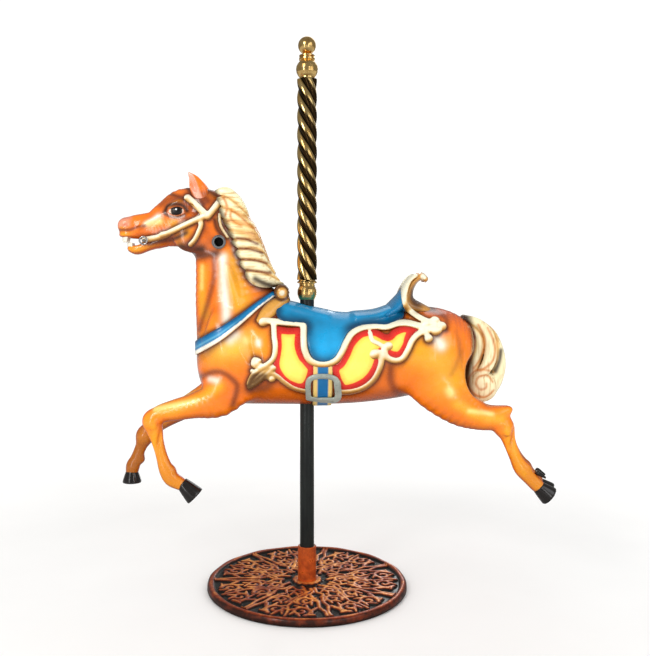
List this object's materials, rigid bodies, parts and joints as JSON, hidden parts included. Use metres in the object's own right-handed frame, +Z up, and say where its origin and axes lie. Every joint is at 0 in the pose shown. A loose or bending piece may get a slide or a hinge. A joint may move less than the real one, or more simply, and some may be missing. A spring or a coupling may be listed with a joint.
{
  "type": "carousel horse display stand",
  "caption": "Jumping carousel horse on a twisted brass pole that swivels in a round cast base; the horse's height on the pole can be set",
  "frame": {"origin": "on the pole's axis, at the underside of the base pad on the floor", "axes": "+X towards the tail, +Y towards the horse's right side, +Z up"},
  "size_m": [1.2227, 0.534, 1.4792],
  "materials": {
    "base_bronze": "cast relief, copper highlights over dark patina",
    "socket_copper": "satin copper",
    "nylon": "machined",
    "rubber_pad": "matte",
    "screw_steel": "zinc plated",
    "black_pole": "gloss black",
    "plug_steel": "turned",
    "polished_brass": "polished, darker in the grooves",
    "horse_enamel": "glossy airbrushed enamel on glass fibre",
    "hoof_black": "gloss black",
    "liner_steel": "welded tube",
    "former_wood": "plywood",
    "saddle_blue": "glossy enamel",
    "cloth_red": "glossy enamel with yellow centre",
    "trim_cream": "glossy enamel",
    "pommel_gold": "gold enamel",
    "stirrup_silver": "silver enamel",
    "mane_cream": "glossy enamel with brown grooves",
    "eye_gloss": "wet gloss",
    "handle_metal": "plated"
  },
  "bodies": {
    "stand": {"base_plate": "base_bronze", "pole_socket": "socket_copper", "socket_bush": "nylon", "thrust_washer": "nylon", "base_pad": "rubber_pad", "flange_screws": "screw_steel", "socket_grub_screws": "screw_steel"},
    "pole": {"steel_pole": "black_pole", "pole_foot_plug": "plug_steel", "lower_ferrule": "polished_brass", "ferrule_grub_screw": "screw_steel", "brass_sleeve": "polished_brass", "upper_ferrule": "polished_brass", "pole_top_plug": "plug_steel", "finial_stud": "screw_steel", "finial_ball": "polished_brass"},
    "horse": {"torso_shell_left": "horse_enamel", "torso_shell_right": "horse_enamel", "head_shell_left": "horse_enamel", "head_shell_right": "horse_enamel", "foreleg_left": "horse_enamel", "foreleg_right": "horse_enamel", "hindleg_left": "horse_enamel", "hindleg_right": "horse_enamel", "fore_hoof_left": "hoof_black", "fore_hoof_right": "hoof_black", "hind_hoof_left": "hoof_black", "hind_hoof_right": "hoof_black", "pole_liner": "liner_steel", "saddle_flange": "liner_steel", "belly_flange": "liner_steel", "horse_lock_screws": "screw_steel", "front_former": "former_wood", "rear_former": "former_wood", "saddle": "saddle_blue", "saddle_cloth_left": "cloth_red", "saddle_cloth_right": "cloth_red", "saddle_trim_left": "trim_cream", "saddle_trim_right": "trim_cream", "girth_strap": "saddle_blue", "stirrups": "stirrup_silver", "cantle_scroll": "trim_cream", "pommel_scroll": "pommel_gold", "breast_strap": "saddle_blue", "mane": "mane_cream", "tail": "mane_cream", "bridle": "trim_cream", "ear_left": "horse_enamel", "ear_right": "horse_enamel", "eye_left": "eye_gloss", "eye_right": "eye_gloss", "upper_teeth": "trim_cream", "lower_teeth": "trim_cream", "bit_rings": "handle_metal", "bit_bar": "handle_metal", "handle_tube": "handle_metal", "handle_grommets": "handle_metal"}
  },
  "joints": [
    {"name": "pole_swivel", "type": "hinge", "parent": "stand", "child": "pole", "pos_m": [0, 0, 0.1], "axis": [0, 0, 1], "continuous": true},
    {"name": "horse_height", "type": "slide", "parent": "pole", "child": "horse", "axis": [0, 0, 1], "range_m": [-0.13, 0.012]}
  ]
}
